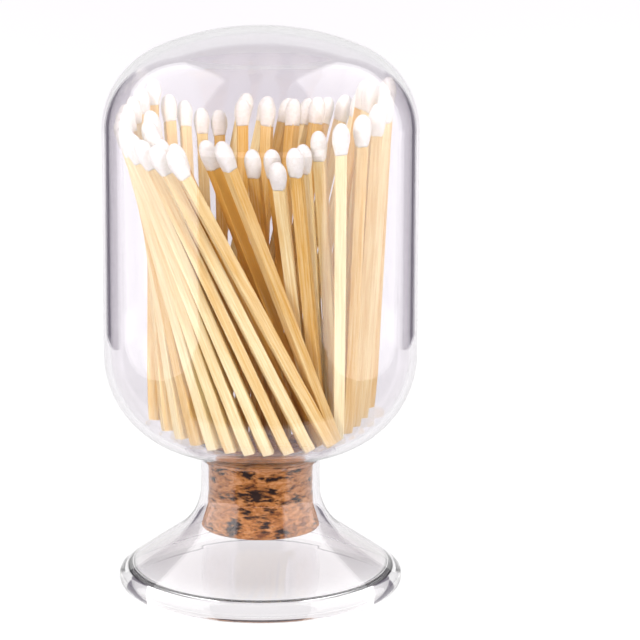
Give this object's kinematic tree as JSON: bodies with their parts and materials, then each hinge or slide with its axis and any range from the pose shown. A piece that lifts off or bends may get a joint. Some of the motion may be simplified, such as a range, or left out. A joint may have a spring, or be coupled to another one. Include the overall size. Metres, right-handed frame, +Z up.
{
  "type": "match striker",
  "caption": "Clear glass match cloche: a domed jar on a flared hollow foot, closed from below by a cork with a striking pad and filled with long white-tipped wooden matches.",
  "frame": {"origin": "centre of the foot's ground ring, on the surface the cloche stands on", "axes": "+Z up the axis of the glass; -Y towards the picture's camera, +X to the right of the picture"},
  "size_m": [0.09, 0.09, 0.1625],
  "materials": {
    "glass": "clear, polished",
    "cork": "natural cork, matte",
    "striker": "coarse striking surface",
    "match": "bare pale wood with a matte off-white head"
  },
  "bodies": {
    "root": {"glass_cloche": "glass", "cork_stopper": "cork", "striker_pad": "striker", "match_01": "match", "match_02": "match", "match_03": "match", "match_04": "match", "match_05": "match", "match_06": "match", "match_07": "match", "match_08": "match", "match_09": "match", "match_10": "match", "match_11": "match", "match_12": "match", "match_13": "match", "match_14": "match", "match_15": "match", "match_16": "match", "match_17": "match", "match_18": "match", "match_19": "match", "match_20": "match", "match_21": "match", "match_22": "match", "match_23": "match", "match_24": "match", "match_25": "match", "match_26": "match", "match_27": "match", "match_28": "match", "match_29": "match", "match_30": "match", "match_31": "match", "match_32": "match", "match_33": "match", "match_34": "match", "match_35": "match", "match_36": "match", "match_37": "match", "match_38": "match", "match_39": "match", "match_40": "match", "match_41": "match", "match_42": "match", "match_43": "match", "match_44": "match", "match_45": "match", "match_46": "match", "match_47": "match"}
  },
  "joints": []
}
